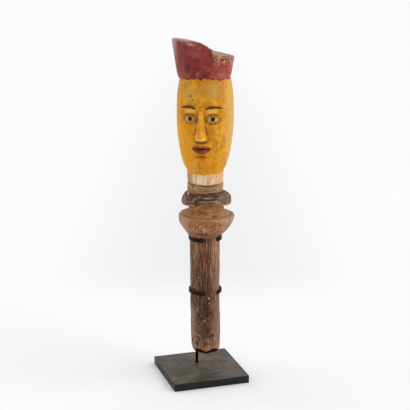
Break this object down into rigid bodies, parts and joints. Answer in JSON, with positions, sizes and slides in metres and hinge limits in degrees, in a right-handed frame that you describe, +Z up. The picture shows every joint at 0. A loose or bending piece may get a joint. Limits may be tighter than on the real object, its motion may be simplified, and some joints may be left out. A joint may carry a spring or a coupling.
{
  "type": "dance wand",
  "caption": "Carved and painted wooden dance wand with a capped head, ringed collar and round grip, held upright by a black steel display stand.",
  "frame": {"origin": "centre of the base plate's underside", "axes": "+Z up along the grip, -Y out of the plate's front edge, +X to the right seen from the front; the face is turned 26.5 degrees from -Y towards -X"},
  "size_m": [0.1, 0.1, 0.4424],
  "materials": {
    "painted_wood": "satin",
    "black_steel": "matte"
  },
  "bodies": {
    "root": {"wand": "painted_wood", "base_plate": "black_steel", "post": "black_steel", "upper_clip": "black_steel", "lower_clip": "black_steel"}
  },
  "joints": []
}
